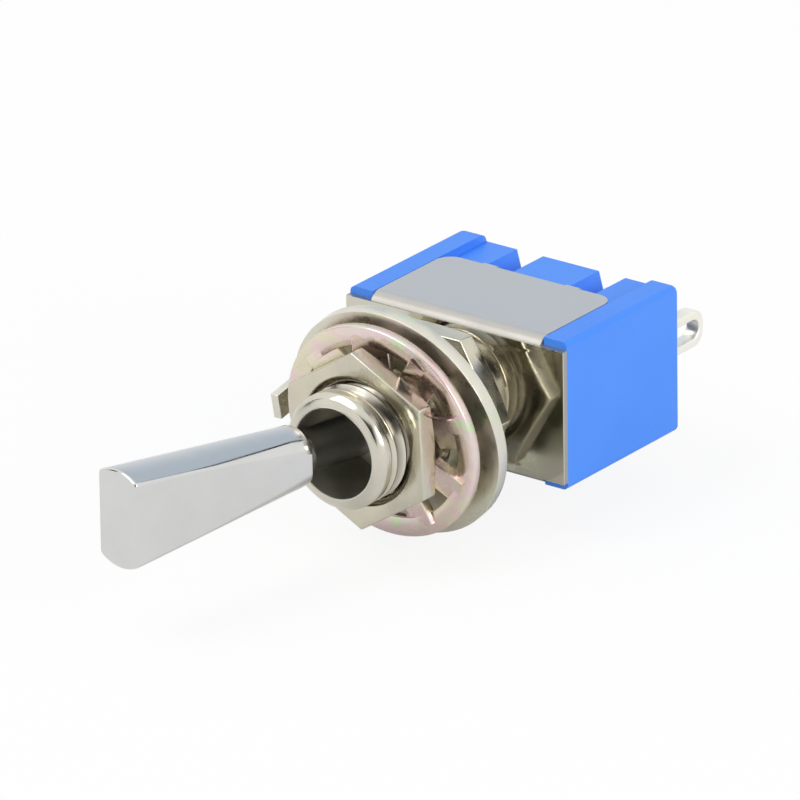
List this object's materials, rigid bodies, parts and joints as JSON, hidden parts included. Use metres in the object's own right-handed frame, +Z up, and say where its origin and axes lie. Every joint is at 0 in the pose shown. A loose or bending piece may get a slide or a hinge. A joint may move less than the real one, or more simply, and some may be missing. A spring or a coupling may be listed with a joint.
{
  "type": "toggle switch",
  "caption": "Miniature panel toggle switch with a flat chromed lever, a threaded bushing with its nuts and washers, a folded metal bracket on a blue case, and solder lugs behind.",
  "frame": {"origin": "on the bushing's axis, at the front face of the bracket's plate", "axes": "+X to the right along the lever's swing, seen from the front; +Y to the rear, towards the solder lugs; +Z up"},
  "size_m": [0.0132, 0.0363, 0.0123],
  "materials": {
    "blue_plastic": "satin moulded",
    "nickel_sheet": "nickel plated, bright",
    "nickel_brass": "nickel plated, bright",
    "chrome_brass": "chrome plated, mirror",
    "pin_steel": "drawn",
    "nose_plastic": "satin",
    "silver_brass": "silver plated, bright",
    "contact_silver": "silver",
    "seal_resin": "cast",
    "zinc_steel": "zinc plated, passivated with a yellow to pink tint"
  },
  "bodies": {
    "frame": {"housing": "blue_plastic", "bracket": "nickel_sheet", "bushing": "nickel_brass", "terminal_left": "silver_brass", "terminal_common": "silver_brass", "terminal_right": "silver_brass", "contact_pad_left": "contact_silver", "contact_pad_right": "contact_silver", "terminal_seal": "seal_resin"},
    "lever": {"lever": "chrome_brass", "lever_pin": "pin_steel"},
    "plunger": {"plunger": "nose_plastic", "plunger_spring": "pin_steel"},
    "rocker": {"rocker_contact": "silver_brass", "rocker_tip_left": "contact_silver", "rocker_tip_right": "contact_silver"},
    "front_washer": {"lock_washer": "zinc_steel"},
    "front_nut": {"front_nut": "nickel_brass"},
    "rear_washer": {"locating_washer": "zinc_steel"},
    "rear_nut": {"rear_nut": "nickel_brass"}
  },
  "joints": [
    {"name": "lever_tilt", "type": "hinge", "parent": "frame", "child": "lever", "pos_m": [0, -0.0041, 0], "axis": [0, 0, 1], "range_deg": [0, 22.5]},
    {"name": "plunger_slide", "type": "slide", "parent": "lever", "child": "plunger", "axis": [-0.1951, -0.9808, 0], "range_m": [0, 0.0004], "stiffness_N_per_m": 400, "springref_m": -0.001, "deforming": ["plunger_spring"]},
    {"name": "rocker_tilt", "type": "hinge", "parent": "frame", "child": "rocker", "pos_m": [0, 0.00424, 0], "axis": [0, 0, 1], "range_deg": [-9, 0]},
    {"name": "front_nut_travel", "type": "slide", "parent": "frame", "child": "front_washer", "axis": [0, -1, 0], "range_m": [0, 0.0026]},
    {"name": "front_nut_turn", "type": "hinge", "parent": "front_washer", "child": "front_nut", "pos_m": [0, -0.0075, 0], "axis": [0, -1, 0], "range_deg": [0, 1248]},
    {"name": "rear_nut_travel", "type": "slide", "parent": "frame", "child": "rear_washer", "axis": [0, 1, 0], "range_m": [0, 0.0013]},
    {"name": "rear_nut_turn", "type": "hinge", "parent": "rear_washer", "child": "rear_nut", "pos_m": [0, -0.002, 0], "axis": [0, 1, 0], "range_deg": [0, 624]}
  ],
  "couplings": [
    {"joint": "rocker_tilt", "follows": "lever_tilt", "ratio": -0.4},
    {"joint": "front_nut_turn", "follows": "front_nut_travel", "rad_per_m": 8377.6},
    {"joint": "rear_nut_turn", "follows": "rear_nut_travel", "rad_per_m": 8377.6}
  ]
}
